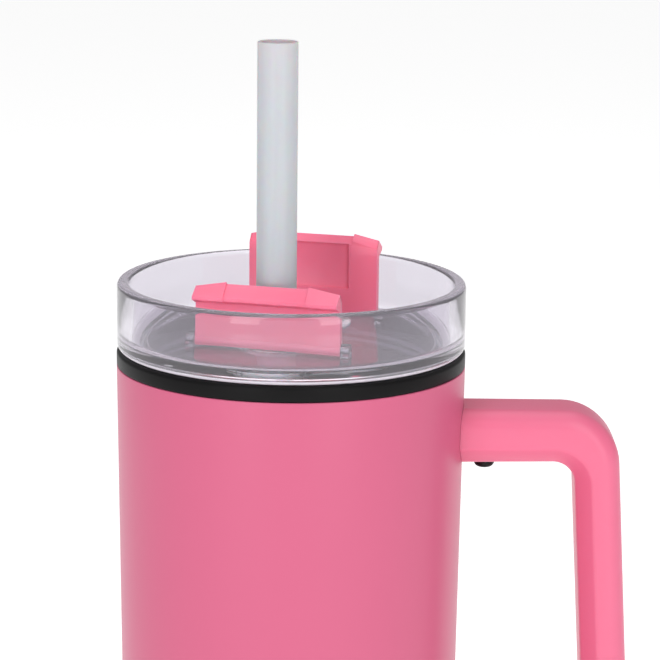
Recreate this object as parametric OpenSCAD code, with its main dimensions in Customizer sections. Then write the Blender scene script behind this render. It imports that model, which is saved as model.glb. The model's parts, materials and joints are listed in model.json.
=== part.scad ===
// Vacuum-insulated handled tumbler with a clear lid, two flip doors and a straw.
// Millimetres. The origin is on the table, on the body's axis; +Z is up and +X points to the handle.

/* [Body] */
// Outside diameter of the steel body at its mouth
mouth_d = 100.2; // [92:0.1:124]
// Height of the steel body, from the table to its mouth
body_h = 239.8; // [195:0.1:300]
// Outside diameter where the long taper ends, above the shoulder
waist_d = 96.6; // [86:0.1:106]
// Outside diameter of the straight stem that drops into a cup holder
base_d = 78; // [66:0.5:94]
// Height of the top of the straight stem
stem_h = 70; // [50:1:86]
// Height of the shoulder between the stem and the taper
shoulder_h = 20; // [12:1:30]
// Thickness of the sheet steel
steel_t = 0.8; // [0.5:0.1:1.2]
// Gap of the vacuum space between the two walls
vacuum_gap = 2.7; // [2:0.1:4]
// Height of the drinking cup's floor above the table
cup_floor_z = 12; // [9:0.5:20]
// Fillet between the cup's floor and its wall
cup_fillet = 9; // [4:0.5:14]

/* [Base] */
// Height of the shell's turned-in edge above the table
foot_gap = 1; // [0.6:0.1:2]
// Radius of the shell's bottom corner
foot_corner = 3; // [2:0.5:5]
// Width of the shell's turned-in edge, corner included
foot_turn_in = 8; // [7:0.5:12]
// Diameter of the vacuum port in the base disc
port_d = 4; // [3:0.5:6]
// Diameter of the seal over the vacuum port
port_seal_d = 10; // [8:0.5:14]

/* [Lid] */
// Turn of the lid on the body, seen from above
lid_yaw = -16; // [-180:1:180]
// How far the clear rim stands in from the body's mouth, all round
rim_inset = 0.1; // [0:0.05:1]
// Height of the clear lid wall above the black band
lid_wall_h = 19.6; // [18:0.1:28]
// Height of the black band between the lid and the body
band_h = 4.6; // [3:0.1:7]
// Thickness of the clear wall at the rim
lid_wall_t = 3.6; // [2.5:0.1:5]
// Fillet between the clear wall and the lid's floor
floor_fillet = 2.5; // [1:0.1:3]
// Depth of the lid's floor, below the rim
floor_depth = 16.5; // [15:0.1:18]
// Thickness of the lid's floor
floor_t = 2.2; // [1.8:0.1:3]
// Depth of the plug that goes into the body's mouth
plug_depth = 11.8; // [10:0.1:16]
// Thickness of the plug's wall
plug_t = 2.2; // [1.8:0.1:3]
// Radial space between the plug and the mouth, which the seals fill
plug_gap = 1.36; // [1:0.02:2]
// Height of each seal ring
seal_h = 2.2; // [1.6:0.1:3]

/* [Doors] */
// Distance from the plug's inner wall to each hinge pin
hinge_to_wall = 19.7; // [17:0.1:22]
// Thickness of a door's plate
door_t = 2.4; // [2:0.1:3]
// Radius of the knuckle along a door's lower edge
knuckle_r = 1.5; // [1.4:0.05:1.8]
// Radius of a hinge pin
pin_r = 0.7; // [0.6:0.05:0.8]
// Width of the straw door
straw_door_w = 42; // [34:0.5:46]
// Height of the straw door above its pin
straw_door_h = 17.1; // [14:0.1:22]
// Width of the drink door
drink_door_w = 39; // [34:0.5:46]
// Height of the drink door above its pin
drink_door_h = 24.2; // [22:0.1:28]
// Reach of a door's finger lip beyond its plate
lip_reach = 3; // [2:0.1:4]
// Distance from the door's middle to the inner end of an ear
ear_start = 12; // [9:0.1:15]
// Rise of an ear's inner end above the lip
ear_rise = 1.2; // [0.6:0.1:2]
// Drop of an ear's outer end below the lip
ear_drop = 1; // [0.4:0.1:2]

/* [Straw and drink port] */
// Outside diameter of the straw
straw_d = 11.4; // [8:0.1:13.8]
// Thickness of the straw's wall
straw_t = 0.9; // [0.6:0.1:1.4]
// Height of the straw's top above the lid's rim
straw_above = 69.8; // [30:0.1:110]
// Gap between the straw's lower end and the cup's floor
straw_below = 4; // [2:0.5:12]
// Length of the drink port, along its door
port_l = 26; // [18:0.5:30]
// Width of the drink port, across its door
port_w = 13; // [9:0.5:14]
// Distance from the drink door's pin to the middle of its port
port_to_hinge = 11.8; // [10:0.1:13]

/* [Handle] */
// Depth of the top of the handle, below the lid's rim
handle_drop = 36; // [28:0.5:50]
// Height of each arm
arm_h = 16.2; // [13:0.1:20]
// Height of the finger gap, between the arms
grip_gap = 96; // [80:1:110]
// Reach of the grip's inner face beyond the mouth, at its top
finger_reach = 30.7; // [25:0.1:40]
// Thickness of the grip, outwards
grip_t = 13.2; // [10:0.1:16]
// Lean of the grip, outwards on its way down, in degrees
grip_lean = 3.4; // [0:0.1:6]
// Width of the handle, across
handle_w = 22; // [16:0.5:28]
// Distance from the body's mouth radius to the handle screws
screw_reach = 6.1; // [5:0.1:8]

/* [Clearances] */
// Radial running clearance of pins and of the straw
run_clearance = 0.06; // [0.02:0.01:0.1]
// Clearance of parts that sit face to face but come apart
seat_clearance = 0.05; // [0.02:0.01:0.1]
// Clearance between a moving part and what it passes
pass_clearance = 0.4; // [0.3:0.05:0.6]

/* [Hidden] */
$fn = 96;
mouth_r = mouth_d / 2;
base_r = base_d / 2;
waist_r = waist_d / 2;
shoulder_top = stem_h + shoulder_h;
wall_stack = 2 * steel_t + vacuum_gap;
foot_hole_r = base_r - foot_turn_in;
disc_z = foot_gap + steel_t;
port_seal_t = 0.6;
getter_r = 7;
getter_h = 2;
pad_gap = 0.2;
pad_corner = 0.5;
port_seal_gap = 0.3;
// How far a cutting solid passes the face it cuts
cut = 1;

lid_seat_z = body_h + seat_clearance;
flange_z = lid_seat_z + band_h;
rim_z = flange_z + lid_wall_h;
rim_r = mouth_r - rim_inset;
floor_z = rim_z - floor_depth;
plug_z = lid_seat_z - plug_depth;
land_below_plug = 4;
land_z = plug_z - land_below_plug;
bore_r = body_r(land_z) - wall_stack;
plug_r = bore_r - plug_gap;
floor_r = plug_r - plug_t;
rim_in_r = rim_r - lid_wall_t;
groove_depth = 1;
low_seal_rise = 2.5;
seal_spacing = 1.8;
seal_zs = [plug_z + low_seal_rise, plug_z + low_seal_rise + seal_h + seal_spacing];
seal_lip = 0.2;

hinge_y = floor_r - hinge_to_wall;
floor_gap = 0.2;
hinge_z = floor_z + knuckle_r + floor_gap;
lug_t = 2.2;
lug_gap = 0.3;
lug_r = 2;
lug_sink = 0.5;

straw_r = straw_d / 2;
straw_y = -(hinge_y - knuckle_r - pass_clearance - straw_r);
straw_hole_r = straw_r + run_clearance;
grommet_t = 2.4;
grommet_reach = 1.4;
grommet_neck_r = straw_hole_r + grommet_t;
grommet_flange_r = grommet_neck_r + grommet_reach;
grommet_lip = 0.8;
grommet_foot = 1;
port_y = hinge_y - port_to_hinge;
gasket_w = 1.8;
gasket_depth = 0.8;
door_seat_gap = 0.1;
gasket_top = floor_gap + knuckle_r - door_t / 2 - door_seat_gap;

// A door's finger lip, as depths below its highest edge
lip_foot = 5.6;
lip_under = 4.3;
lip_front = 3.4;
lip_bevel = 2.4;
lip_crest = 0.6;
plate_short = 3;
ear_overhang = 0.6;
ear_slope = 0.5;
ear_foot = 5.4;
ear_side = 2.4;
ear_overlap = 0.1;
panel_from = 0.36;
panel_part = 0.55;
panel_margin = 1;
panel_depth = 1;

arm_top_z = rim_z - handle_drop;
arm_low_z = arm_top_z - arm_h - grip_gap;
arm_mid_zs = [arm_top_z - arm_h / 2, arm_low_z - arm_h / 2];
screw_x = mouth_r + screw_reach;
screw_r = 1.25;
screw_head_r = 3;
screw_head_h = 2.4;
screw_dome = 1.6;
screw_gap = 0.25;
root_x = waist_r - 12;
outer_top_corner = 16.5;
outer_low_corner = 18;
grip_low_fillet = 7;
grip_top_fillet = 6.5;
tab_t = 3;
tab_w = 12;
tab_past_screw = 7;
tab_end = screw_x + tab_past_screw;
pocket_gap = 0.15;
saddle_t = 1.5;
saddle_w = 15;
saddle_h = 11;

pink = "#ee7499";
door_pink = "#f5869f";
black = "#262425";
steel = "#b9bbbe";
clear = [0.9, 0.88, 0.91, 0.35];
frosted = [0.85, 0.85, 0.87, 0.8];

// Outside radius of the steel body at height z: stem, cosine shoulder, then a straight taper
function body_r(z) =
    z <= stem_h ? base_r :
    z < shoulder_top ? base_r + (waist_r - base_r) * (1 - cos(180 * (z - stem_h) / shoulder_h)) / 2 :
    waist_r + (mouth_r - waist_r) * (z - shoulder_top) / (body_h - shoulder_top);

// Heights at which the body's profile needs a point, from the stem's top to height z_end
function wall_heights(z_end) =
    concat([for (i = [0:16]) stem_h + shoulder_h * i / 16], [z_end]);

// The body's profile, moved in by inset
function wall_points(z_end, inset) = [for (z = wall_heights(z_end)) [body_r(z) - inset, z]];

function backwards(list) = [for (i = [len(list) - 1:-1:0]) list[i]];

function arc(centre, r, from, to, steps = 8) =
    [for (i = [0:steps]) let (a = from + (to - from) * i / steps) centre + r * [cos(a), sin(a)]];

function unit(v) = v / norm(v);

// The outline's corner p = [x, y, radius] between points a and b, as an arc
function round_corner(a, p, b, steps = 8) =
    let (
        at = [p.x, p.y],
        u = unit([a.x, a.y] - at),
        v = unit([b.x, b.y] - at),
        half = acos(u * v) / 2,
        centre = at + unit(u + v) * p.z / sin(half),
        s = at + u * p.z / tan(half) - centre,
        e = at + v * p.z / tan(half) - centre,
        start = atan2(s.y, s.x),
        turn = atan2(cross(s, e), s * e)
    ) arc(centre, p.z, start, start + turn, steps);

// A closed outline of [x, y, radius] corners; a radius of 0 keeps the corner sharp
function rounded(points) = let (n = len(points)) [
    for (i = [0:n - 1]) let (p = points[i])
        each (p.z == 0 ? [[p.x, p.y]] : round_corner(points[(i + n - 1) % n], p, points[(i + 1) % n]))
];

module ring(points) rotate_extrude() polygon(points);

// 2D x and y become Y and Z, extruded along X
module along_x(length) rotate([90, 0, 90]) linear_extrude(length, center = true) children();

// 2D x and y become X and Z, extruded along Y
module along_y(length) rotate([90, 0, 0]) linear_extrude(length, center = true) children();

module on_lid() rotate([0, 0, lid_yaw]) children();

// A slot with round ends, long along X
module slot(length, width, height) {
    translate([-(length - width) / 2, -width / 2, 0]) cube([length - width, width, height]);
    for (side = [-1, 1]) translate([side * (length - width) / 2, 0, 0]) cylinder(d = width, h = height);
}

module outer_shell() color(pink) ring(concat(
    [[foot_hole_r, foot_gap]],
    arc([base_r - foot_corner, foot_gap + foot_corner], foot_corner, -90, 0),
    wall_points(body_h, 0),
    backwards(wall_points(body_h, steel_t)),
    arc([base_r - foot_corner, foot_gap + foot_corner], foot_corner - steel_t, 0, -90),
    [[foot_hole_r, disc_z]]
));

// The drinking cup: a straight land for the lid's seals, and a flange that meets the shell at the mouth
module inner_liner() {
    inset = wall_stack;
    stem_in_r = base_r - inset;
    color(steel) ring(concat(
        [[0, cup_floor_z]],
        arc([stem_in_r - cup_fillet, cup_floor_z + cup_fillet], cup_fillet, -90, 0),
        wall_points(land_z, inset),
        [[bore_r, body_h], [mouth_r - steel_t, body_h],
         [body_r(body_h - steel_t) - steel_t, body_h - steel_t],
         [bore_r + steel_t, body_h - steel_t]],
        backwards(wall_points(land_z, inset - steel_t)),
        arc([stem_in_r - cup_fillet, cup_floor_z + cup_fillet], cup_fillet + steel_t, 0, -90),
        [[0, cup_floor_z - steel_t]]
    ));
}

module getter() color("#8f8f94")
    translate([0, 0, cup_floor_z - steel_t - getter_h]) cylinder(r = getter_r, h = getter_h);

module base_disc() color(steel) difference() {
    translate([0, 0, disc_z]) cylinder(r = base_r - foot_corner, h = steel_t);
    translate([0, 0, disc_z - cut]) cylinder(d = port_d, h = steel_t + 2 * cut);
}

module vacuum_seal() color("#77757a") {
    translate([0, 0, disc_z - port_seal_t]) cylinder(d = port_seal_d, h = port_seal_t);
    translate([0, 0, disc_z - port_seal_t]) cylinder(d = port_d, h = port_seal_t + steel_t);
}

module base_pad() color("#d9638a") difference() {
    pad_r = foot_hole_r - pad_gap;
    ring(rounded([[0, 0, 0], [pad_r, 0, pad_corner], [pad_r, disc_z, 0], [0, disc_z, 0]]));
    translate([0, 0, disc_z - port_seal_t - seat_clearance])
        cylinder(d = port_seal_d + 2 * port_seal_gap, h = port_seal_t + cut);
}

// Side outline of the handle: two level arms joined by a leaning grip
module handle_outline() {
    slope = tan(grip_lean);
    low_z = arm_low_z - arm_h;
    in_x = mouth_r + finger_reach;
    out_x = in_x + grip_t;
    fall_low = arm_top_z - low_z;
    fall_gap = arm_top_z - arm_low_z;
    polygon(rounded([
        [root_x, arm_top_z, 0],
        [out_x, arm_top_z, outer_top_corner],
        [out_x + slope * fall_low, low_z, outer_low_corner],
        [root_x, low_z, 0],
        [root_x, arm_low_z, 0],
        [in_x + slope * fall_gap, arm_low_z, grip_low_fillet],
        [in_x + slope * arm_h, arm_top_z - arm_h, grip_top_fillet],
        [root_x, arm_top_z - arm_h, 0]
    ]));
}

// The steel body's outside, moved out by grow, as a solid that shapes what meets it
module body_core(grow) ring(concat(
    [[0, 0], [base_r + grow, 0]], wall_points(body_h, -grow), [[0, body_h]]
));

module handle() color(pink) difference() {
    along_y(handle_w) handle_outline();
    body_core(seat_clearance);
    for (z = arm_mid_zs) {
        bracket_solid(z, pocket_gap);
        translate([screw_x, 0, z - arm_h / 2 - cut])
            cylinder(r = screw_r + screw_gap, h = arm_h / 2 + cut + tab_t);
    }
}

// A saddle that hugs the shell, with a tab that runs out into the arm; grow is the pocket's clearance
module bracket_solid(z, grow) {
    intersection() {
        difference() {
            body_core(saddle_t + grow);
            body_core(0);
        }
        translate([0, -saddle_w / 2 - grow, z - saddle_h / 2 - grow])
            cube([mouth_d, saddle_w + 2 * grow, saddle_h + 2 * grow]);
    }
    difference() {
        translate([root_x, -tab_w / 2 - grow, z - tab_t / 2 - grow])
            cube([tab_end + grow - root_x, tab_w + 2 * grow, tab_t + 2 * grow]);
        body_core(0);
    }
}

module bracket(z) color(steel) difference() {
    bracket_solid(z, 0);
    translate([screw_x, 0, z - tab_t]) cylinder(r = screw_r, h = 2 * tab_t);
}

module upper_bracket() bracket(arm_mid_zs[0]);

module lower_bracket() bracket(arm_mid_zs[1]);

// Both screws go up through the underside of an arm into its bracket's tab
module handle_screws() color(black) for (z = arm_mid_zs) translate([screw_x, 0, z - arm_h / 2]) {
    shank_top = arm_h / 2 + tab_t / 2 + 1;
    ring(concat(
        [[0, -screw_head_h]],
        arc([screw_head_r - screw_dome, screw_dome - screw_head_h], screw_dome, -90, 0),
        [[screw_head_r, 0], [screw_r, 0], [screw_r, shank_top], [0, shank_top]]
    ));
}

// Section of the clear lid, from the plug's foot round the rim and across the floor
module lid_section() {
    low_groove = seal_zs[0];
    high_groove = seal_zs[1];
    polygon(rounded([
        [floor_r, plug_z, 0.5],
        [plug_r, plug_z, 0.8],
        [plug_r, low_groove, 0],
        [plug_r - groove_depth, low_groove, 0],
        [plug_r - groove_depth, low_groove + seal_h, 0],
        [plug_r, low_groove + seal_h, 0],
        [plug_r, high_groove, 0],
        [plug_r - groove_depth, high_groove, 0],
        [plug_r - groove_depth, high_groove + seal_h, 0],
        [plug_r, high_groove + seal_h, 0],
        [plug_r, flange_z, 0],
        [rim_r, flange_z, 0.8],
        [rim_r, rim_z, 1.4],
        [rim_in_r, rim_z, 1.2],
        [rim_in_r, floor_z, floor_fillet],
        [0, floor_z, 0],
        [0, floor_z - floor_t, 0],
        [floor_r, floor_z - floor_t, 0]
    ]));
}

// Two ears that hold a door's pin, one past each end of the door
module lugs(width) for (side = [-1, 1]) translate([side * (width / 2 + lug_gap + lug_t / 2), 0, 0]) {
    rotate([0, 90, 0]) cylinder(r = lug_r, h = lug_t, center = true);
    translate([-lug_t / 2, -lug_r, floor_z - hinge_z - lug_sink])
        cube([lug_t, 2 * lug_r, hinge_z - floor_z + lug_sink]);
}

module pin_bar(width, r) rotate([0, 90, 0]) cylinder(r = r, h = width, center = true);

function pin_length(width) = width + 2 * (lug_gap + lug_t);

module lid_body() color(clear) on_lid() difference() {
    union() {
        rotate_extrude() lid_section();
        translate([0, -hinge_y, hinge_z]) lugs(straw_door_w);
        translate([0, hinge_y, hinge_z]) lugs(drink_door_w);
    }
    translate([0, -hinge_y, hinge_z]) pin_bar(pin_length(straw_door_w) + 2 * cut, pin_r);
    translate([0, hinge_y, hinge_z]) pin_bar(pin_length(drink_door_w) + 2 * cut, pin_r);
    translate([0, straw_y, floor_z - floor_t - cut]) cylinder(r = grommet_neck_r, h = floor_t + 2 * cut);
    translate([0, straw_y, floor_z - grommet_lip]) cylinder(r = grommet_flange_r, h = grommet_lip + cut);
    translate([0, port_y, floor_z - floor_t - cut]) slot(port_l, port_w, floor_t + 2 * cut);
    translate([0, port_y, floor_z - gasket_depth])
        slot(port_l + 2 * gasket_w, port_w + 2 * gasket_w, gasket_depth + cut);
}

module lid_band() color(black) ring(rounded([
    [plug_r, lid_seat_z, 0.3],
    [mouth_r, lid_seat_z, 0.4],
    [mouth_r, flange_z, 1],
    [plug_r, flange_z, 0]
]));

module lid_seal(z) color(frosted) ring([
    [plug_r - groove_depth, z],
    [plug_r + seal_lip, z],
    [bore_r - run_clearance, z + seal_h * 0.3],
    [bore_r - run_clearance, z + seal_h * 0.7],
    [plug_r + seal_lip, z + seal_h],
    [plug_r - groove_depth, z + seal_h]
]);

module upper_lid_seal() lid_seal(seal_zs[1]);

module lower_lid_seal() lid_seal(seal_zs[0]);

module straw_grommet() color(frosted) on_lid() translate([0, straw_y, floor_z]) ring([
    [straw_hole_r, -floor_t - grommet_foot],
    [grommet_flange_r, -floor_t - grommet_foot],
    [grommet_flange_r, -floor_t],
    [grommet_neck_r, -floor_t],
    [grommet_neck_r, -grommet_lip],
    [grommet_flange_r, -grommet_lip],
    [grommet_flange_r, 0],
    [straw_hole_r, 0]
]);

module drink_gasket() color(frosted) on_lid() translate([0, port_y, floor_z - gasket_depth]) difference() {
    slot(port_l + 2 * gasket_w, port_w + 2 * gasket_w, gasket_depth + gasket_top);
    translate([0, 0, -cut]) slot(port_l, port_w, gasket_depth + gasket_top + 2 * cut);
}

module straw() color(frosted) on_lid() translate([0, straw_y, 0]) ring(rounded([
    [straw_r - straw_t, cup_floor_z + straw_below, 0.3],
    [straw_r, cup_floor_z + straw_below, 0.3],
    [straw_r, rim_z + straw_above, 0.3],
    [straw_r - straw_t, rim_z + straw_above, 0.3]
]));

// Section of a door's finger lip: it flares out from the plate, and top is its highest edge
function lip_points(top, reach) = [
    [-door_t / 2, top - lip_foot],
    [-door_t / 2 - reach, top - lip_under],
    [-door_t / 2 - reach, top - lip_front],
    [-door_t / 2 + lip_crest, top],
    [door_t / 2, top - lip_bevel],
    [door_t / 2, top - lip_foot]
];

// A door on its pin's axis, standing up; its outer side is -Y
module door(width, height) difference() {
    ear_end = width / 2 + ear_overhang;
    union() {
        pin_bar(width, knuckle_r);
        translate([-width / 2, -door_t / 2, 0]) cube([width, door_t, height - plate_short]);
        along_x(2 * (ear_start + ear_overlap)) polygon(lip_points(height, lip_reach));
        for (side = [-1, 1]) intersection() {
            along_x(2 * ear_end) polygon(lip_points(height + ear_rise, lip_reach + ear_overhang));
            along_y(4 * lip_reach + 2 * door_t) polygon([
                [side * ear_start, height - ear_foot],
                [side * ear_start, height + ear_rise],
                [side * (ear_end - ear_slope), height - ear_drop],
                [side * ear_end, height - ear_drop - ear_side],
                [side * (width / 2), height - ear_foot]
            ]);
        }
    }
    pin_bar(width + 2 * cut, pin_r + run_clearance);
    translate([panel_margin - ear_start, door_t / 2 - panel_depth, height * panel_from])
        cube([2 * (ear_start - panel_margin), panel_depth + cut, height * panel_part]);
}

module straw_door() color(door_pink) on_lid() translate([0, -hinge_y, hinge_z])
    door(straw_door_w, straw_door_h);

module drink_door() color(door_pink) on_lid() translate([0, hinge_y, hinge_z]) rotate([0, 0, 180])
    door(drink_door_w, drink_door_h);

module straw_door_pin() color(steel) on_lid() translate([0, -hinge_y, hinge_z])
    pin_bar(pin_length(straw_door_w), pin_r);

module drink_door_pin() color(steel) on_lid() translate([0, hinge_y, hinge_z])
    pin_bar(pin_length(drink_door_w), pin_r);

outer_shell();
inner_liner();
getter();
base_disc();
vacuum_seal();
base_pad();
handle();
upper_bracket();
lower_bracket();
handle_screws();
lid_body();
lid_band();
upper_lid_seal();
lower_lid_seal();
straw_grommet();
drink_gasket();
straw();
straw_door();
straw_door_pin();
drink_door();
drink_door_pin();
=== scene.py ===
import bpy
import bmesh
import json
import math
from mathutils import Matrix, Vector


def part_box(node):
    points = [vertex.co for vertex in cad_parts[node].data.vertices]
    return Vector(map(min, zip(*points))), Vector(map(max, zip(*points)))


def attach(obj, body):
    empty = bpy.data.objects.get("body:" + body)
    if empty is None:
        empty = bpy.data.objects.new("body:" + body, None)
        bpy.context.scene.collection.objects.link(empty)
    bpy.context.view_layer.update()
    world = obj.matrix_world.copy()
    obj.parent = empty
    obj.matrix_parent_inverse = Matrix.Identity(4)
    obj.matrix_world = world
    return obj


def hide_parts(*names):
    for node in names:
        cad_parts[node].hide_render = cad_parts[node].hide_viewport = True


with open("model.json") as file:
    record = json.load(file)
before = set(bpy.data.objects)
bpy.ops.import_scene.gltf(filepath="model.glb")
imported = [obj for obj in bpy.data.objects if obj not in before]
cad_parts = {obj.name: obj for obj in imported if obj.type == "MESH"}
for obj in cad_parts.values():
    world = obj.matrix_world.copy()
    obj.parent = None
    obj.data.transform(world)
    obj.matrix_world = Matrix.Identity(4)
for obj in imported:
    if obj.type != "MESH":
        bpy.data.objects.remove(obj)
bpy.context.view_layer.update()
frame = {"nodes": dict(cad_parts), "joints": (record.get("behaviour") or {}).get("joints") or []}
nodes = frame["nodes"]
joints = {joint["name"]: joint for joint in frame["joints"]}
mm = 0.001
cutPast = 1   # mm that a cutting piece runs past what it cuts
print("frame loaded:", len(nodes), "nodes")

# places that the pieces share, read from the frame
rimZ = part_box("lid_body")[1].z
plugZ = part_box("lid_body")[0].z
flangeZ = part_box("lid_band")[1].z
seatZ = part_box("lid_band")[0].z
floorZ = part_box("straw_grommet")[1].z
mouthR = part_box("outer_shell")[1].y
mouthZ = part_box("outer_shell")[1].z
strawHinge = joints["straw_door_hinge"]
drinkHinge = joints["drink_door_hinge"]
lidYaw = math.atan2(strawHinge["axis"][1], strawHinge["axis"][0])
strawLow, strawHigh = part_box("straw")
strawSpot = (strawLow + strawHigh) / 2


def hexLinear(code, alpha=1.0):
    parts = [int(code[i:i + 2], 16) / 255 for i in (1, 3, 5)]
    linear = [p / 12.92 if p <= 0.04045 else ((p + 0.055) / 1.055) ** 2.4 for p in parts]
    return (*linear, alpha)


def addNode(tree, kind, settings=None, links=None):
    # settings: attribute or input name -> value; links: input name -> output socket
    node = tree.nodes.new(kind)
    for key, value in (settings or {}).items():
        if isinstance(key, str) and hasattr(node, key):
            setattr(node, key, value)
        else:
            node.inputs[key].default_value = value
    for key, socket in (links or {}).items():
        tree.links.new(socket, node.inputs[key])
    return node


def startMaterial(name, settings):
    # a fresh material with one Principled shader; settings go straight onto its sockets
    material = bpy.data.materials.new(name)
    material.use_nodes = True
    tree = material.node_tree
    tree.nodes.clear()
    shader = addNode(tree, "ShaderNodeBsdfPrincipled", settings)
    output = addNode(tree, "ShaderNodeOutputMaterial")
    tree.links.new(shader.outputs["BSDF"], output.inputs["Surface"])
    place = addNode(tree, "ShaderNodeTexCoord")
    return material, tree, shader, place.outputs["Object"]


def driveColour(tree, shader, factor, low, high):
    colour = addNode(tree, "ShaderNodeMix", {"data_type": "RGBA"}, {"Factor": factor})
    colour.inputs["A"].default_value = low
    colour.inputs["B"].default_value = high
    tree.links.new(colour.outputs["Result"], shader.inputs["Base Color"])


def driveRoughness(tree, shader, value, low, high):
    rough = addNode(tree, "ShaderNodeMapRange", {"To Min": low, "To Max": high}, {"Value": value})
    tree.links.new(rough.outputs["Result"], shader.inputs["Roughness"])


def driveBump(tree, shader, height, strength, distance):
    bump = addNode(tree, "ShaderNodeBump", {"Strength": strength, "Distance": distance}, {"Height": height})
    tree.links.new(bump.outputs["Normal"], shader.inputs["Normal"])


def wear(piece, material):
    piece.data.materials.clear()
    piece.data.materials.append(material)


def deselectAll():
    if bpy.context.object and bpy.context.object.mode == "EDIT":
        bpy.ops.object.mode_set(mode="OBJECT")
    bpy.ops.object.select_all(action="DESELECT")


def openMesh(piece, mode="FACE"):
    deselectAll()
    bpy.context.view_layer.objects.active = piece
    piece.select_set(True)
    bpy.ops.object.mode_set(mode="EDIT")
    bpy.ops.mesh.select_mode(type=mode)
    bpy.ops.mesh.select_all(action="DESELECT")


def closeMesh():
    bpy.ops.object.mode_set(mode="OBJECT")


def pickFaces(piece, test):
    bpy.ops.mesh.select_mode(type="FACE")
    bpy.ops.mesh.select_all(action="DESELECT")
    bm = bmesh.from_edit_mesh(piece.data)
    for face in bm.faces:
        if test(face.calc_center_median(), face.normal):
            face.select_set(True)
    bmesh.update_edit_mesh(piece.data)


def pickEdges(piece, test):
    bpy.ops.mesh.select_mode(type="EDGE")
    bpy.ops.mesh.select_all(action="DESELECT")
    bm = bmesh.from_edit_mesh(piece.data)
    for edge in bm.edges:
        a, b = edge.verts[0].co, edge.verts[1].co
        if test(a, b):
            edge.select_set(True)
    bmesh.update_edit_mesh(piece.data)


def moveVerts(piece, test, change):
    # change is in millimetres
    bpy.ops.mesh.select_mode(type="VERT")
    bpy.ops.mesh.select_all(action="DESELECT")
    bm = bmesh.from_edit_mesh(piece.data)
    for vert in bm.verts:
        if test(vert.co):
            vert.select_set(True)
    bmesh.update_edit_mesh(piece.data)
    bpy.ops.transform.translate(value=Vector(change) * mm)


def selectedPlaces(piece):
    return [vert.co.copy() for vert in bmesh.from_edit_mesh(piece.data).verts if vert.select]


def applyModifier(piece, kind, **settings):
    deselectAll()
    bpy.context.view_layer.objects.active = piece
    piece.select_set(True)
    modifier = piece.modifiers.new(kind.lower(), kind)
    for key, value in settings.items():
        setattr(modifier, key, value)
    bpy.ops.object.modifier_apply(modifier=modifier.name)


def cutWith(piece, cutter, operation="DIFFERENCE"):
    # faces that aren't flat upset a boolean, so the piece is in triangles first
    openMesh(piece)
    bpy.ops.mesh.select_all(action="SELECT")
    bpy.ops.mesh.quads_convert_to_tris()
    closeMesh()
    applyModifier(piece, "BOOLEAN", operation=operation, object=cutter, solver="EXACT")
    bpy.data.objects.remove(cutter)


def settle(piece, angle=30):
    # place goes into the mesh, then smooth shading with sharp creases kept
    deselectAll()
    bpy.context.view_layer.objects.active = piece
    piece.select_set(True)
    bpy.ops.object.transform_apply(location=True, rotation=True, scale=True)
    bpy.ops.object.shade_smooth_by_angle(angle=math.radians(angle))


def namedPrimitive(name, add, **settings):
    deselectAll()
    add(**settings)
    piece = bpy.context.object
    piece.name = name
    piece.data.name = name
    return piece


def roundCorners(corners, steps=6):
    # corners are (x, y, radius); a radius of 0 stays sharp
    points = []
    count = len(corners)
    for i, (x, y, radius) in enumerate(corners):
        here = Vector((x, y))
        if radius == 0:
            points.append(here)
            continue
        before = (Vector(corners[i - 1][:2]) - here).normalized()
        after = (Vector(corners[(i + 1) % count][:2]) - here).normalized()
        half = math.acos(max(-1, min(1, before.dot(after)))) / 2
        centre = here + (before + after).normalized() * radius / math.sin(half)
        start = here + before * radius / math.tan(half) - centre
        end = here + after * radius / math.tan(half) - centre
        turn = start.angle_signed(end, 0)
        for k in range(steps + 1):
            spun = start.copy()
            spun.rotate(Matrix.Rotation(-turn * k / steps, 2))
            points.append(centre + spun)
    return points


def lathe(name, outline, spot=(0, 0), segments=192):
    # a ring is added at the outline's first point, then extruded and scaled from point to point.
    # an outline that ends on its first point closes; otherwise both ends are filled flat
    closed = (outline[0] - outline[-1]).length < 1e-7
    first = outline[0]
    piece = namedPrimitive(name, bpy.ops.mesh.primitive_circle_add, vertices=segments, radius=first.x,
                           fill_type="NOTHING" if closed else "NGON", location=(*spot, first.y))
    bpy.ops.object.transform_apply(location=True, rotation=False, scale=False)
    openMesh(piece, "EDGE")
    bpy.ops.mesh.select_all(action="SELECT")
    here = first
    for point in outline[1:]:
        bpy.ops.mesh.extrude_edges_move(TRANSFORM_OT_translate={"value": (0, 0, point.y - here.y)})
        grow = point.x / here.x
        bpy.ops.transform.resize(value=(grow, grow, 1), center_override=(*spot, point.y))
        here = point
    if not closed:
        bpy.ops.mesh.edge_face_add()
    bpy.ops.mesh.select_all(action="SELECT")
    bpy.ops.mesh.remove_doubles(threshold=2e-6)
    bpy.ops.mesh.normals_make_consistent(inside=False)
    closeMesh()
    return piece


def inMetres(corners, base=0.0):
    # (radius, height, rounding) in millimetres, heights counted from base
    return [(x * mm, base + y * mm, r * mm) for x, y, r in corners]


def ringOutline(corners, base=0.0, steps=6):
    points = roundCorners(inMetres(corners, base), steps)
    return points + [points[0]]


view = {
    "target": (11.11, 0, -14.68),   # mm, height counted from the lid's rim
    "distance": 800,
    "pitch": 12.30,
    "roll": 0.6,
    "lens": 151.86,
}


def addCamera():
    data = bpy.data.cameras.new("productCamera")
    camera = bpy.data.objects.new("productCamera", data)
    bpy.context.scene.collection.objects.link(camera)
    pitch = math.radians(view["pitch"])
    look = Vector((0, math.cos(pitch), -math.sin(pitch)))
    target = Vector(view["target"]) * mm + Vector((0, 0, rimZ))
    turn = Matrix.Rotation(math.radians(view["roll"]), 4, "Z")
    camera.matrix_world = (Matrix.Translation(target - look * view["distance"] * mm)
                           @ look.to_track_quat("-Z", "Y").to_matrix().to_4x4() @ turn)
    data.lens = view["lens"]
    data.sensor_width = 36
    data.clip_start = 0.05
    data.clip_end = 60
    bpy.context.scene.camera = camera


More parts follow.
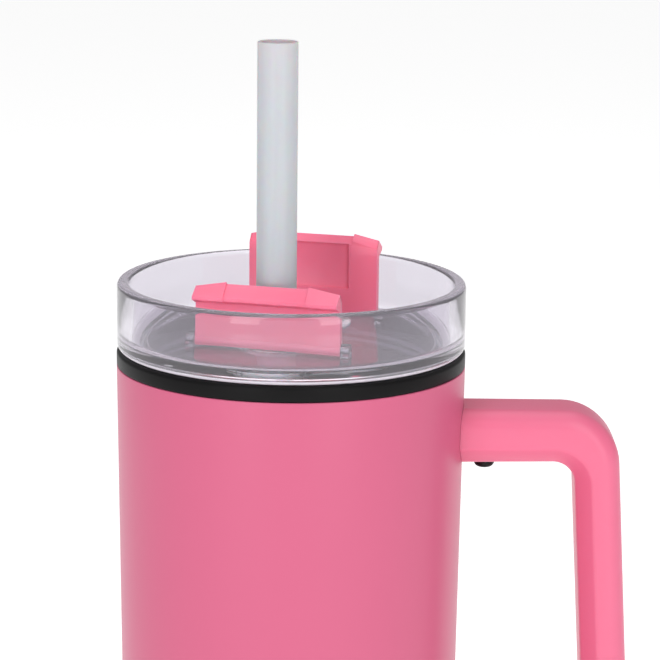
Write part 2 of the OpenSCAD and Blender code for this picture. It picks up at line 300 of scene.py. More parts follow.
studio = {
    "world": "#ffffff", "worldPower": 0.4,
    "floor": "#fafafa", "floorGlow": 0.56,
    "strips": {"azimuth": 28, "distance": 1.3, "width": 0.52, "height": 1.5, "centre": 0.75, "aim": 0.2,
               "power": 6.6},
    "top": {"size": 1.3, "height": 1.6, "back": 0.1, "power": 6.7},
}


def addAreaLight(name, place, target, width, height, power):
    data = bpy.data.lights.new(name, "AREA")
    data.shape = "RECTANGLE"
    data.size = width
    data.size_y = height
    data.energy = power
    lamp = bpy.data.objects.new(name, data)
    bpy.context.scene.collection.objects.link(lamp)
    lamp.location = place
    lamp.rotation_euler = (Vector(target) - Vector(place)).to_track_quat("-Z", "Y").to_euler()


def addStudio():
    scene = bpy.context.scene
    scene.view_settings.view_transform = "Standard"
    world = bpy.data.worlds.new("studioWorld")
    world.use_nodes = True
    backdrop = world.node_tree.nodes["Background"]
    backdrop.inputs["Color"].default_value = hexLinear(studio["world"])
    # the camera sees a white sky past the floor's edge; everything else is lit by a dimmer one
    rays = addNode(world.node_tree, "ShaderNodeLightPath")
    power = addNode(world.node_tree, "ShaderNodeMapRange", {"To Min": studio["worldPower"], "To Max": 1.0},
                    {"Value": rays.outputs["Is Camera Ray"]})
    world.node_tree.links.new(power.outputs["Result"], backdrop.inputs["Strength"])
    scene.world = world
    floor = namedPrimitive("studioFloor", bpy.ops.mesh.primitive_plane_add, size=24)
    material, tree, shader, place = startMaterial("paintedSweep", {
        "Base Color": hexLinear(studio["floor"]), "Roughness": 0.9,
        "Emission Color": (1, 1, 1, 1), "Emission Strength": studio["floorGlow"]})
    wear(floor, material)
    strips = studio["strips"]
    away = strips["distance"]
    for side in (-1, 1):
        angle = math.radians(strips["azimuth"]) * side
        place = (math.sin(angle) * away, -math.cos(angle) * away, strips["centre"])
        addAreaLight(f"stripBox{side}", place, (0, 0, strips["aim"]), strips["width"], strips["height"],
                     strips["power"])
    top = studio["top"]
    addAreaLight("topBox", (0, top["back"], top["height"]), (0, 0, 0), top["size"], top["size"], top["power"])


addCamera()
addStudio()
print("camera and studio set")


def makePowderCoat():
    # polyester powder coat on steel: satin, with the faint orange peel that baked powder has
    material, tree, shader, place = startMaterial("pinkPowderCoat", {
        "Roughness": 0.36, "IOR": 1.5, "Specular IOR Level": 0.36})
    drift = addNode(tree, "ShaderNodeTexNoise", {"Scale": 14.0, "Detail": 2.0}, {"Vector": place})
    driveColour(tree, shader, drift.outputs["Fac"], hexLinear("#c65a7c"), hexLinear("#ca5f80"))
    peel = addNode(tree, "ShaderNodeTexNoise", {"Scale": 900.0, "Detail": 2.0}, {"Vector": place})  # ~1 mm
    driveBump(tree, shader, peel.outputs["Fac"], 0.05, 0.0002)
    return material


def makeMouldedPlastic(name, low, high, roughness, subsurface):
    # injection-moulded polypropylene: soft sheen, a fine grain, light that bleeds a little inside
    material, tree, shader, place = startMaterial(name, {
        "IOR": 1.49, "Subsurface Weight": subsurface, "Subsurface Scale": 0.004})
    shader.inputs["Subsurface Radius"].default_value = (1.0, 0.35, 0.4)
    drift = addNode(tree, "ShaderNodeTexNoise", {"Scale": 22.0, "Detail": 3.0}, {"Vector": place})
    driveColour(tree, shader, drift.outputs["Fac"], hexLinear(low), hexLinear(high))
    grains = addNode(tree, "ShaderNodeTexNoise", {"Scale": 1600.0, "Detail": 2.0}, {"Vector": place})
    driveRoughness(tree, shader, grains.outputs["Fac"], roughness - 0.04, roughness + 0.04)
    driveBump(tree, shader, grains.outputs["Fac"], 0.08, 0.0001)
    return material


def makeClearPlastic():
    # clear copolyester from a polished mould: glassy, a trace of haze and lavender, a slightly wavy wall
    material, tree, shader, place = startMaterial("clearCopolyester", {
        "Base Color": hexLinear("#e0dce5"), "Roughness": 0.02, "IOR": 1.5, "Transmission Weight": 0.95})
    flow = addNode(tree, "ShaderNodeTexNoise", {"Scale": 26.0, "Detail": 1.5}, {"Vector": place})
    driveBump(tree, shader, flow.outputs["Fac"], 0.12, 0.002)
    # lamps shine through it, so what stands inside is lit
    rays = addNode(tree, "ShaderNodeLightPath")
    letThrough = addNode(tree, "ShaderNodeBsdfTransparent", {"Color": (1, 1, 1, 1)})
    both = addNode(tree, "ShaderNodeMixShader", {}, {
        0: rays.outputs["Is Shadow Ray"], 1: shader.outputs["BSDF"], 2: letThrough.outputs["BSDF"]})
    tree.links.new(both.outputs["Shader"], tree.nodes["Material Output"].inputs["Surface"])
    return material


def makeFrostedFoot():
    # the face of the clear lid that stands on the band is left matt, and catches the light
    material, tree, shader, place = startMaterial("frostedCopolyester", {
        "IOR": 1.5, "Transmission Weight": 0.25})
    speckle = addNode(tree, "ShaderNodeTexNoise", {"Scale": 300.0, "Detail": 2.0}, {"Vector": place})
    driveColour(tree, shader, speckle.outputs["Fac"], hexLinear("#dcd4e0"), hexLinear("#ebe5ee"))
    driveRoughness(tree, shader, speckle.outputs["Fac"], 0.5, 0.7)
    return material


def makeFrostedStraw():
    # frosted polypropylene tube: milky and translucent, with drawn lines along it
    material, tree, shader, place = startMaterial("frostedStraw", {
        "IOR": 1.49, "Roughness": 0.42, "Subsurface Weight": 0.6, "Subsurface Scale": 0.004,
        "Transmission Weight": 0.22})
    stretch = addNode(tree, "ShaderNodeMapping", {"Scale": (1.0, 1.0, 0.04)}, {"Vector": place})
    lines = addNode(tree, "ShaderNodeTexNoise", {"Scale": 700.0, "Detail": 2.0},
                    {"Vector": stretch.outputs["Vector"]})
    driveColour(tree, shader, lines.outputs["Fac"], hexLinear("#cdcdd3"), hexLinear("#d5d5da"))
    driveBump(tree, shader, lines.outputs["Fac"], 0.06, 0.0001)
    return material


def makeBlackMoulding():
    # black ABS, lightly textured: deep satin black
    material, tree, shader, place = startMaterial("blackSatinAbs", {
        "Base Color": hexLinear("#121112"), "IOR": 1.5, "Specular IOR Level": 0.1})
    grains = addNode(tree, "ShaderNodeTexNoise", {"Scale": 1500.0, "Detail": 2.0}, {"Vector": place})
    driveRoughness(tree, shader, grains.outputs["Fac"], 0.34, 0.46)
    driveBump(tree, shader, grains.outputs["Fac"], 0.06, 0.0001)
    return material


def makeBrushedSteel(name, turned, dark, light):
    # stainless steel: spun walls carry fine rings round the axis, sheet parts a straight grain
    material, tree, shader, place = startMaterial(name, {"Metallic": 1.0})
    stretch = (0.02, 0.02, 1.0) if turned else (0.05, 1.0, 1.0)
    mapped = addNode(tree, "ShaderNodeMapping", {"Scale": stretch}, {"Vector": place})
    lines = addNode(tree, "ShaderNodeTexNoise", {"Scale": 2200.0, "Detail": 3.0},
                    {"Vector": mapped.outputs["Vector"]})
    driveColour(tree, shader, lines.outputs["Fac"], hexLinear(dark), hexLinear(light))
    driveRoughness(tree, shader, lines.outputs["Fac"], 0.3, 0.42)
    driveBump(tree, shader, lines.outputs["Fac"], 0.03, 0.0001)
    return material


def makeBlackOxide():
    # black-oxide alloy steel: nearly black, a little oily
    material, tree, shader, place = startMaterial("blackOxideSteel", {"Metallic": 0.85})
    bloom = addNode(tree, "ShaderNodeTexNoise", {"Scale": 800.0, "Detail": 3.0}, {"Vector": place})
    driveColour(tree, shader, bloom.outputs["Fac"], hexLinear("#161516"), hexLinear("#2c2a2a"))
    driveRoughness(tree, shader, bloom.outputs["Fac"], 0.3, 0.5)
    return material


def makeSilicone(name, tint):
    # moulded silicone: matt, slightly milky, with a dusty bloom
    material, tree, shader, place = startMaterial(name, {
        "IOR": 1.41, "Subsurface Weight": 0.3, "Subsurface Scale": 0.002})
    bloom = addNode(tree, "ShaderNodeTexNoise", {"Scale": 120.0, "Detail": 4.0}, {"Vector": place})
    paler = [min(1, c * 1.08) for c in hexLinear(tint)]
    driveColour(tree, shader, bloom.outputs["Fac"], hexLinear(tint), paler)
    driveRoughness(tree, shader, bloom.outputs["Fac"], 0.5, 0.62)
    return material


powderCoat = makePowderCoat()
handlePlastic = makeMouldedPlastic("pinkPolypropylene", "#dd6787", "#e06c8d", 0.36, 0.12)
doorPlastic = makeMouldedPlastic("pinkDoorPolypropylene", "#fb7593", "#fd7e9b", 0.34, 0.42)
clearPlastic = makeClearPlastic()
mattPlastic = makeFrostedFoot()
strawPlastic = makeFrostedStraw()
blackPlastic = makeBlackMoulding()
spunSteel = makeBrushedSteel("brushedStainless", turned=True, dark="#949393", light="#a8a7a7")
sheetSteel = makeBrushedSteel("sheetStainless", turned=False, dark="#8d8c8c", light="#b4b3b2")
getterMetal = makeBrushedSteel("sinteredGetter", turned=False, dark="#3c3b3a", light="#5a5856")
blackSteel = makeBlackOxide()
clearSilicone = makeSilicone("clearSilicone", "#d8d8dc")
footSilicone = makeSilicone("pinkSilicone", "#cf5f85")
print("materials made")


body = {
    "waist": 48.3, "stem": 39, "stemTop": 70, "shoulder": 20,   # radii and heights
    "steel": 0.8, "footGap": 1, "footCorner": 3, "footHole": 31, "mouthSoft": 0.3,
    "vacuum": 2.7, "cupFloor": 12, "cupFillet": 9, "land": 4,
    "holeSoft": 0.2, "lipSoft": 0.4, "cupMiddle": 20,   # the flat middle of the cup's floor is one face
}


def bodyRadius(z):
    if z <= body["stemTop"]:
        return body["stem"]
    top = body["stemTop"] + body["shoulder"]
    if z < top:
        share = (1 - math.cos(math.pi * (z - body["stemTop"]) / body["shoulder"])) / 2
        return body["stem"] + (body["waist"] - body["stem"]) * share
    mouth = mouthR / mm
    return body["waist"] + (mouth - body["waist"]) * (z - top) / (mouthZ / mm - top)


def bodyWall(inset, topInset):
    heights = [body["stemTop"] + body["shoulder"] * i / 24 for i in range(25)]
    wall = [(bodyRadius(z) - inset, z, 0) for z in heights]
    steps = 6
    top = mouthZ / mm - topInset
    low = heights[-1]
    wall += [(bodyRadius(low + (top - low) * k / steps) - inset, low + (top - low) * k / steps, 0)
             for k in range(1, steps + 1)]
    return wall


def makeShell():
    steel = body["steel"]
    gap = body["footGap"]
    stem = body["stem"]
    corner = body["footCorner"]
    outer = [(body["footHole"], gap, body["holeSoft"]), (stem, gap, corner)] + bodyWall(0, 0)[:-1]
    outer += [(mouthR / mm, mouthZ / mm, body["mouthSoft"]), (mouthR / mm - steel, mouthZ / mm, 0)]
    inner = list(reversed(bodyWall(steel, 0)[:-1]))
    inner += [(stem - steel, gap + steel, corner - steel), (body["footHole"], gap + steel, body["holeSoft"])]
    shell = lathe("bodyShell", ringOutline(outer + inner, steps=8), segments=256)
    settle(shell)
    wear(shell, powderCoat)
    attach(shell, "tumbler")
    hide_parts("outer_shell")


def makeLiner():
    inset = body["steel"] * 2 + body["vacuum"]
    steel = body["steel"]
    bore = bodyRadius(plugZ / mm - body["land"]) - inset
    landZ = plugZ / mm - body["land"]
    stem = body["stem"] - inset
    floor = body["cupFloor"]
    heights = [body["stemTop"] + body["shoulder"] * i / 24 for i in range(25)] + [150, landZ]
    corners = [(body["cupMiddle"], floor, 0), (stem, floor, body["cupFillet"])]
    corners += [(bodyRadius(z) - inset, z, 0) for z in heights]
    corners += [(bore, mouthZ / mm, body["lipSoft"]), (mouthR / mm - steel, mouthZ / mm, 0)]
    under = mouthZ / mm - steel
    corners += [(bodyRadius(under) - steel, under, 0), (bore + steel, under, 0)]
    corners += [(bodyRadius(z) - inset + steel, z, 0) for z in reversed(heights)]
    corners += [(stem + steel, floor - steel, body["cupFillet"] + steel),
                (body["cupMiddle"], floor - steel, 0)]
    liner = lathe("cupLiner", roundCorners(inMetres(corners), 10), segments=256)
    settle(liner)
    wear(liner, spunSteel)
    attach(liner, "tumbler")
    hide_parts("inner_liner")


makeShell()
makeLiner()
print("body shell and liner done")


band = {"plug": 44.4, "softTop": 1.1, "softFoot": 0.5, "softPlug": 0.2, "airGap": 0.12}


def makeBand():
    height = (flangeZ - seatZ) / mm - band["airGap"]
    corners = [(band["plug"], 0, band["softPlug"]), (mouthR / mm, 0, band["softFoot"]),
               (mouthR / mm, height, band["softTop"]), (band["plug"], height, band["softPlug"])]
    ring = lathe("blackBand", ringOutline(corners, seatZ), segments=256)
    settle(ring)
    wear(ring, blackPlastic)
    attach(ring, "lid")
    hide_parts("lid_band")


straw = {"wall": 0.9, "lipSoft": 0.35}


def makeStraw():
    outside = (strawHigh.x - strawLow.x) / 2 / mm
    inside = outside - straw["wall"]
    height = (strawHigh.z - strawLow.z) / mm
    soft = straw["lipSoft"]
    corners = [(inside, 0, soft), (outside, 0, soft), (outside, height, soft), (inside, height, soft)]
    tube = lathe("drinkingStraw", ringOutline(corners, strawLow.z), (strawSpot.x, strawSpot.y), 96)
    settle(tube)
    wear(tube, strawPlastic)
    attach(tube, "straw")
    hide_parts("straw")


grommet = {
    "hole": 5.76, "neck": 8.16, "flange": 9.56, "lip": 0.8, "floor": 2.2, "skirt": 1.0,
    "leadIn": (0.7, 0.6), "soft": 0.2, "footIn": 0.3, "footOut": 0.4,
}


def makeGrommet():
    g = grommet
    foot = -g["floor"] - g["skirt"]
    leadOut, leadDown = g["leadIn"]
    corners = [(g["hole"], foot, g["footIn"]), (g["flange"], foot, g["footOut"]),
               (g["flange"], -g["floor"], 0), (g["neck"], -g["floor"], 0), (g["neck"], -g["lip"], 0),
               (g["flange"], -g["lip"], 0), (g["flange"], 0, g["soft"]),
               (g["hole"] + leadOut, 0, g["soft"]), (g["hole"], -leadDown, g["soft"])]
    ring = lathe("strawGrommet", ringOutline(corners, floorZ), (strawSpot.x, strawSpot.y), 96)
    settle(ring)
    wear(ring, clearSilicone)
    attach(ring, "lid")
    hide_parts("straw_grommet")


foot = {
    "radius": 30.8, "height": 1.8, "edge": 0.5,
    "grooves": 5, "first": 6, "pitch": 4.6, "width": 1.6, "depth": 0.5, "soft": 0.15,
    "middle": 3, "sealPocket": (5.4, 0.7),
}


def makeFoot():
    # concentric grip grooves in the underside
    corners = []
    for k in range(foot["grooves"]):
        at = foot["first"] + k * foot["pitch"]
        end = at + foot["width"]
        soft = foot["soft"]
        corners += [(at, 0, soft), (at, foot["depth"], soft), (end, foot["depth"], soft), (end, 0, soft)]
    pocketR, pocketDepth = foot["sealPocket"]
    pocketZ = foot["height"] - pocketDepth
    corners = [(foot["middle"], 0, 0)] + corners
    corners += [(foot["radius"], 0, foot["edge"]), (foot["radius"], foot["height"], 0),
                (pocketR, foot["height"], 0), (pocketR, pocketZ, 0), (foot["middle"], pocketZ, 0)]
    pad = lathe("footPad", roundCorners(inMetres(corners)), segments=128)
    settle(pad)
    wear(pad, footSilicone)
    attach(pad, "tumbler")
    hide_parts("base_pad")


makeBand()
makeStraw()
makeGrommet()
makeFoot()
print("band, straw, grommet and foot done")


lid = {
    "rim": 50.0, "wall": 3.6, "rimSoft": 1.5, "rimInSoft": 1.3, "footSoft": 1.9,
    "plugIn": 42.05, "floor": 16.5, "floorT": 2.2, "fillet": 2.5,
    "plugR": 44.25, "groove": 1.0, "sealH": 2.2,
    "lugT": 2.2, "lugR": 2.0, "lugGap": 0.3, "lugSink": 0.5, "pin": 0.7,
    "port": (26.0, 13.0), "portBack": 11.8, "gasket": 1.8, "gasketDepth": 0.8,
    "gasketSoft": 0.35, "middle": 3, "floorSoft": 0.6, "plugInSoft": 0.5, "plugSoft": 0.8,
}
doors = {
    "straw": {"name": "strawDoor", "node": "straw_door", "body": "straw_door", "joint": strawHinge,
              "width": 42.0, "height": 17.1, "turn": 0},
    "drink": {"name": "drinkDoor", "node": "drink_door", "body": "drink_door", "joint": drinkHinge,
              "width": 39.0, "height": 24.2, "turn": math.pi},
}


def toHinge(piece, joint, turn=0.0):
    piece.matrix_world = (Matrix.Translation(Vector(joint["pos_m"]))
                          @ Matrix.Rotation(lidYaw + turn, 4, "Z") @ piece.matrix_world)
    bpy.context.view_layer.update()


def rod(name, radius, length, vertices=48):
    # a bar along X through the origin
    piece = namedPrimitive(name, bpy.ops.mesh.primitive_cylinder_add, vertices=vertices, radius=radius * mm,
                           depth=length * mm, rotation=(0, math.pi / 2, 0))
    bpy.ops.object.transform_apply(location=False, rotation=True, scale=False)
    return piece


def makeLug(door, side):
    # an upright ear with a round head, one past each end of a door
    at = side * (door["width"] / 2 + lid["lugGap"] + lid["lugT"] / 2) * mm
    drop = door["joint"]["pos_m"][2] - floorZ + lid["lugSink"] * mm
    lug = namedPrimitive("lug", bpy.ops.mesh.primitive_cube_add, size=1,
                         location=(at, 0, (lid["lugR"] * mm - drop) / 2),
                         scale=(lid["lugT"] * mm, 2 * lid["lugR"] * mm, drop + lid["lugR"] * mm))
    bpy.ops.object.transform_apply(location=True, rotation=False, scale=True)
    openMesh(lug, "EDGE")
    pickEdges(lug, lambda a, b: min(a.z, b.z) > 0 and abs(a.x - b.x) > mm)
    bpy.ops.mesh.bevel(offset=lid["lugR"] * mm * 0.98, segments=8)   # just short of meeting in the middle
    closeMesh()
    toHinge(lug, door["joint"])
    return lug


def slotCutter(length, width, low, high):
    # a slot with round ends, long along X: a box with its upright edges rolled
    piece = namedPrimitive("slot", bpy.ops.mesh.primitive_cube_add, size=1, location=(0, 0, (low + high) / 2),
                           scale=(length * mm, width * mm, high - low))
    bpy.ops.object.transform_apply(location=True, rotation=False, scale=True)
    openMesh(piece, "EDGE")
    pickEdges(piece, lambda a, b: abs(a.z - b.z) > (high - low) / 2)
    bpy.ops.mesh.bevel(offset=width * mm / 2 * 0.999, segments=16)   # just short of meeting
    closeMesh()
    return piece


def makeLid():
    rimIn = lid["rim"] - lid["wall"]
    depth = (rimZ - plugZ) / mm
    flange = (rimZ - flangeZ) / mm
    seals = [(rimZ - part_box(name)[0].z) / mm for name in ("lower_lid_seal", "upper_lid_seal")]
    under = -lid["floor"] - lid["floorT"]
    plug = lid["plugR"]
    corners = [(lid["middle"], under, 0), (lid["plugIn"], under, lid["floorSoft"]),
               (lid["plugIn"], -depth, lid["plugInSoft"]), (plug, -depth, lid["plugSoft"])]
    for low in seals:
        corners += [(plug, -low, 0), (plug - lid["groove"], -low, 0),
                    (plug - lid["groove"], -low + lid["sealH"], 0), (plug, -low + lid["sealH"], 0)]
    corners += [(plug, -flange, 0), (lid["rim"], -flange, lid["footSoft"]), (lid["rim"], 0, lid["rimSoft"]),
                (rimIn, 0, lid["rimInSoft"]), (rimIn, -lid["floor"], lid["fillet"]),
                (lid["middle"], -lid["floor"], 0)]
    piece = lathe("clearLid", roundCorners(inMetres(corners, rimZ), 8), segments=256)
    for door in doors.values():
        for side in (-1, 1):
            cutWith(piece, makeLug(door, side), "UNION")
    for door in doors.values():
        pin = rod("pinHole", lid["pin"], door["width"] + 2 * (lid["lugGap"] + lid["lugT"] + cutPast))
        toHinge(pin, door["joint"])
        cutWith(piece, pin)
    low = floorZ - (lid["floorT"] + cutPast) * mm
    for radius, bottom in ((grommet["neck"], low), (grommet["flange"], floorZ - grommet["lip"] * mm)):
        cutWith(piece, namedPrimitive("strawHole", bpy.ops.mesh.primitive_cylinder_add, vertices=96,
                                      radius=radius * mm, depth=floorZ + mm - bottom,
                                      location=(strawSpot.x, strawSpot.y, (floorZ + mm + bottom) / 2)))
    length, width = lid["port"]
    edge = 2 * lid["gasket"]
    for grow, bottom in ((0, low), (edge, floorZ - lid["gasketDepth"] * mm)):
        hole = slotCutter(length + grow, width + grow, bottom, floorZ + mm)
        back = Vector(drinkHinge["pos_m"]).xy.length - lid["portBack"] * mm
        hole.matrix_world = Matrix.Rotation(lidYaw, 4, "Z") @ Matrix.Translation((0, back, 0))
        cutWith(piece, hole)
    settle(piece, 25)
    wear(piece, clearPlastic)
    piece.data.materials.append(mattPlastic)
    openMesh(piece)
    pickFaces(piece, lambda c, n: n.z < -0.35 and c.z < flangeZ + 2 * mm and c.xy.length > plug * mm)
    piece.active_material_index = 1
    bpy.ops.object.material_slot_assign()
    closeMesh()
    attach(piece, "lid")
    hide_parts("lid_body")


def makeGasket():
    # a soft bead round the drink port
    length, width = lid["port"]
    edge = 2 * lid["gasket"]
    low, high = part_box("drink_gasket")
    ring = slotCutter(length + edge, width + edge, low.z, high.z)
    ring.name = "drinkGasket"
    cutWith(ring, slotCutter(length, width, low.z - mm, high.z + mm))
    applyModifier(ring, "BEVEL", width=lid["gasketSoft"] * mm, segments=4, limit_method="ANGLE",
                  angle_limit=math.radians(60))
    back = Vector(drinkHinge["pos_m"]).xy.length - lid["portBack"] * mm
    ring.matrix_world = Matrix.Rotation(lidYaw, 4, "Z") @ Matrix.Translation((0, back, 0))
    bpy.context.view_layer.update()
    settle(ring)
    wear(ring, clearSilicone)
    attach(ring, "lid")
    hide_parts("drink_gasket")


makeLid()
makeGasket()
print("clear lid and gasket done")


doorShape = {
    "plate": 2.4, "plateFoot": 1.15,
    "lipBase": 5.6, "lipReach": 3.0, "lipLow": 4.3, "lipHigh": 3.4, "lipBevel": 2.4, "crest": 0.6,
    "earStart": 12.0, "earRise": 1.2, "earDrop": 1.0, "earProud": 0.4,
    "panel": 1.0, "panelInset": 1.0, "panelFoot": 0.36, "panelTop": 0.91,   # shares of the height
    "knuckle": 1.5, "bore": 0.76, "soft": 0.35,
}


def makeDoor(door):
    # stands up over its pin at the origin, outer side to -Y, and goes to its hinge at the end
    d = doorShape
    half = door["width"] / 2
    top = door["height"]
    lipFoot = (top - d["lipBase"]) * mm
    front = -d["plate"] / 2 * mm
    foot = -d["plateFoot"] * mm
    piece = namedPrimitive(door["name"], bpy.ops.mesh.primitive_cube_add, size=1,
                           location=(0, 0, (lipFoot + foot) / 2),
                           scale=(2 * half * mm, d["plate"] * mm, lipFoot - foot))
    bpy.ops.object.transform_apply(location=True, rotation=False, scale=True)
    openMesh(piece)
    for x in (-d["earStart"], d["earStart"]):
        bpy.ops.mesh.select_all(action="SELECT")
        bpy.ops.mesh.bisect(plane_co=(x * mm, 0, 0), plane_no=(1, 0, 0))
    # the finger lip grows up from the plate and out from its front
    pickFaces(piece, lambda c, n: n.z > 0.9)
    bpy.ops.mesh.extrude_region_move(TRANSFORM_OT_translate={"value": (0, 0, d["lipBase"] * mm)})
    pickFaces(piece, lambda c, n: n.y < -0.9 and c.z > lipFoot)
    bpy.ops.mesh.extrude_region_move(TRANSFORM_OT_translate={"value": (0, -d["lipReach"] * mm, 0)})
    moveVerts(piece, lambda v: v.y < front - mm and v.z < lipFoot + mm, (0, 0, d["lipBase"] - d["lipLow"]))
    moveVerts(piece, lambda v: v.y < front - mm and v.z > lipFoot + 2 * mm, (0, 0, -d["lipHigh"]))
    moveVerts(piece, lambda v: abs(v.y - front) < 1e-6 and v.z > lipFoot + 2 * mm, (0, d["crest"], 0))
    moveVerts(piece, lambda v: v.y > 0 and v.z > lipFoot + 2 * mm, (0, 0, -d["lipBevel"]))
    # an ear at each end stands proud of the lip, with a step at its inner end, and falls away outwards
    pickFaces(piece, lambda c, n: abs(c.x) > d["earStart"] * mm and abs(n.x) < 0.5 and c.z > lipFoot
              and (n.z > 0.1 or c.y < front - mm))
    bpy.ops.mesh.extrude_region_move(TRANSFORM_OT_translate={"value": (0, -d["earProud"] * mm, 0)})
    crest = lipFoot + (d["lipBase"] - d["lipBevel"] - 0.1) * mm
    innerEnds = [place for place in selectedPlaces(piece)
                 if place.z > crest and abs(place.x) < (half - 1) * mm]

    def atInnerEnd(v):
        return v.z > crest and any((v - place).length < 1e-6 for place in innerEnds)

    moveVerts(piece, lambda v: v.y > -mm and atInnerEnd(v), (0, d["earProud"], d["earRise"]))
    moveVerts(piece, lambda v: v.y < -mm and atInnerEnd(v), (0, 0, d["earRise"] / 2))
    moveVerts(piece, lambda v: v.z > crest and abs(v.x) > (half - 1) * mm, (0, 0, -d["earDrop"]))
    bpy.ops.mesh.select_all(action="SELECT")
    bpy.ops.mesh.remove_doubles(threshold=1e-5)
    closeMesh()
    # the middle of the inner face is a sunk panel
    low, high = top * d["panelFoot"], top * d["panelTop"]
    cutter = namedPrimitive("panelCutter", bpy.ops.mesh.primitive_cube_add, size=1,
                            location=(0, (d["plate"] / 2 - d["panel"] + cutPast) * mm, (low + high) / 2 * mm),
                            scale=(2 * (d["earStart"] - d["panelInset"]) * mm, 2 * cutPast * mm,
                                   (high - low) * mm))
    bpy.ops.object.transform_apply(location=True, rotation=False, scale=True)
    cutWith(piece, cutter)
    cutWith(piece, rod("knuckle", d["knuckle"], 2 * half), "UNION")
    cutWith(piece, rod("bore", d["bore"], 2 * (half + cutPast)))
    applyModifier(piece, "BEVEL", width=d["soft"] * mm, segments=3, limit_method="ANGLE",
                  angle_limit=math.radians(28))
    toHinge(piece, door["joint"], door["turn"])
    settle(piece, 35)
    wear(piece, doorPlastic)
    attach(piece, door["body"])
    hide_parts(door["node"])


for door in doors.values():
    makeDoor(door)
print("doors done")


handle = {
    "drop": 36, "arm": 16.2, "gap": 96, "reach": 30.7, "grip": 13.2, "lean": 3.4, "width": 22,
    "outTop": 16.5, "outLow": 18, "inTop": 6.5, "inLow": 7, "root": 36.3, "flare": 0.7,
    "round": 5.2, "chamfer": 4.8, "soft": 0.9, "seatGap": 0.06,
    "cutAbove": 10, "plainRoot": 9,   # the ends inside the body are cut away, so their edges stay plain
}


def bodyCutter(grow, top):
    # the body's outside, moved out by grow, as a solid up to height top
    wall = [(body["stem"] + grow, body["footCorner"], 0)] + bodyWall(-grow, mouthZ / mm - top)
    return lathe("bodyCutter", roundCorners(inMetres(wall)), segments=256)


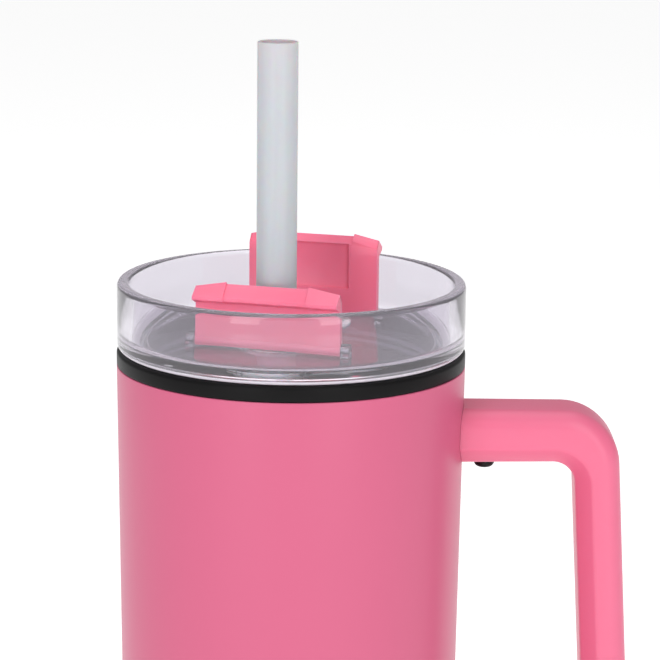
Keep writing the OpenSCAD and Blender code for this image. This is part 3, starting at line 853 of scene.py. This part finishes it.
def makeHandle():
    h = handle
    slope = math.tan(math.radians(h["lean"]))
    top = rimZ / mm - h["drop"]
    lowTop = top - h["arm"] - h["gap"]
    low = lowTop - h["arm"]
    inX = mouthR / mm + h["reach"]
    outX = inX + h["grip"]
    armEnd = inX + slope * h["arm"]
    # the upper arm comes first, and is grown block by block round the grip and back
    piece = namedPrimitive("sideHandle", bpy.ops.mesh.primitive_cube_add, size=1,
                           location=((h["root"] + armEnd) / 2 * mm, 0, (top - h["arm"] / 2) * mm),
                           scale=((armEnd - h["root"]) * mm, h["width"] * mm, h["arm"] * mm))
    bpy.ops.object.transform_apply(location=True, rotation=False, scale=True)
    openMesh(piece)
    pickFaces(piece, lambda c, n: n.x > 0.9)
    bpy.ops.mesh.extrude_region_move(TRANSFORM_OT_translate={"value": (h["grip"] * mm, 0, 0)})
    moveVerts(piece, lambda v: v.x > (armEnd + 1) * mm and v.z > (top - 1) * mm, (-slope * h["arm"], 0, 0))
    pickFaces(piece, lambda c, n: n.z < -0.9 and c.x > armEnd * mm)
    for fall in (h["gap"], h["arm"]):
        bpy.ops.mesh.extrude_region_move(TRANSFORM_OT_translate={"value": (slope * fall * mm, 0, -fall * mm)})
    pickFaces(piece, lambda c, n: n.x < -0.9 and c.z < lowTop * mm)
    bpy.ops.mesh.extrude_region_move(TRANSFORM_OT_translate={"value": ((h["root"] - armEnd) * mm, 0, 0)})
    # the cuts between the blocks go, and the arms slim a little towards the grip
    bpy.ops.mesh.select_all(action="SELECT")
    bpy.ops.mesh.dissolve_limited(angle_limit=math.radians(1))
    places = {"outTop": (outX, top), "outLow": (outX + slope * (top - low), low),
              "inTop": (armEnd, top - h["arm"]), "inLow": (inX + slope * (top - lowTop), lowTop)}

    def near(v, place):
        return abs(v.x - place[0] * mm) < mm and abs(v.z - place[1] * mm) < mm

    moveVerts(piece, lambda v: near(v, places["inTop"]), (0, 0, h["flare"]))
    moveVerts(piece, lambda v: near(v, places["inLow"]), (0, 0, -h["flare"]))
    for name, place in places.items():
        half = 45 + h["lean"] / 2 if "Top" in name else 45 - h["lean"] / 2
        pickEdges(piece, lambda a, b: near(a, place) and near(b, place))
        bpy.ops.mesh.bevel(offset=h[name] * mm / math.tan(math.radians(half)), segments=14)

    side = h["width"] / 2 * mm - 1e-6
    middle = (inX + outX) / 2

    def onSide(a, b):
        outside = max(a.x, b.x) > (h["root"] + h["plainRoot"]) * mm
        return outside and min(abs(a.y), abs(b.y)) > side and a.y * b.y > 0

    def inner(v):
        inGap = (lowTop - 1) * mm < v.z < (top - h["arm"] + 1) * mm
        return inGap and v.x < (middle + slope * (top - v.z / mm)) * mm

    # the outside of the loop is rounded, the finger side is chamfered
    pickEdges(piece, lambda a, b: onSide(a, b) and not inner((a + b) / 2))
    bpy.ops.mesh.bevel(offset=h["round"] * mm, segments=8)
    pickEdges(piece, lambda a, b: onSide(a, b) and inner((a + b) / 2))
    bpy.ops.mesh.bevel(offset=h["chamfer"] * mm, segments=1)
    closeMesh()
    applyModifier(piece, "BEVEL", width=h["soft"] * mm, segments=3, limit_method="ANGLE",
                  angle_limit=math.radians(30))
    cutWith(piece, bodyCutter(h["seatGap"], top + h["cutAbove"]))
    settle(piece, 35)
    wear(piece, handlePlastic)
    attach(piece, "tumbler")
    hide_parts("handle")


screw = {
    "head": 2.4, "dome": 1.7, "headEdge": 0.2, "shank": 1.25, "past": 2.5, "tip": 0.3, "middle": 0.4,
    "socket": 1.45, "deep": 1.5,
}


def makeScrews():
    # dome heads with a hexagon socket, under the upper arm and under the lower one
    low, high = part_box("handle_screws")
    x = (low.x + high.x) / 2 / mm
    headR = (high.x - low.x) / 2 / mm
    h = handle
    top = rimZ / mm - h["drop"]
    undersides = [top - h["arm"], top - 2 * h["arm"] - h["gap"]]
    made = []
    for z in undersides:
        tip = h["arm"] / 2 + screw["past"]
        corners = [(screw["middle"], -screw["head"], 0), (headR, -screw["head"], screw["dome"]),
                   (headR, 0, screw["headEdge"]), (screw["shank"], 0, 0),
                   (screw["shank"], tip, screw["tip"]), (screw["middle"], tip, 0)]
        piece = lathe("handleScrews", roundCorners(inMetres(corners, z * mm), 6), (x * mm, 0), 64)
        cutWith(piece, namedPrimitive("socket", bpy.ops.mesh.primitive_cylinder_add, vertices=6,
                                      radius=screw["socket"] * mm, depth=2 * screw["deep"] * mm,
                                      location=(x * mm, 0, (z - screw["head"]) * mm)))
        made.append(piece)
    deselectAll()
    for piece in made:
        piece.select_set(True)
    bpy.context.view_layer.objects.active = made[0]
    bpy.ops.object.join()
    screws = made[0]
    screws.name = "handleScrews"
    settle(screws)
    wear(screws, blackSteel)
    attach(screws, "tumbler")
    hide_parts("handle_screws")


makeHandle()
makeScrews()
print("handle and screws done")


finishes = {
    "getter": getterMetal, "base_disc": sheetSteel, "vacuum_seal": getterMetal,
    "upper_bracket": sheetSteel, "lower_bracket": sheetSteel,
    "upper_lid_seal": clearSilicone, "lower_lid_seal": clearSilicone,
    "straw_door_pin": sheetSteel, "drink_door_pin": sheetSteel,
}
for nodeName, material in finishes.items():
    wear(nodes[nodeName], material)
print("frame nodes finished")
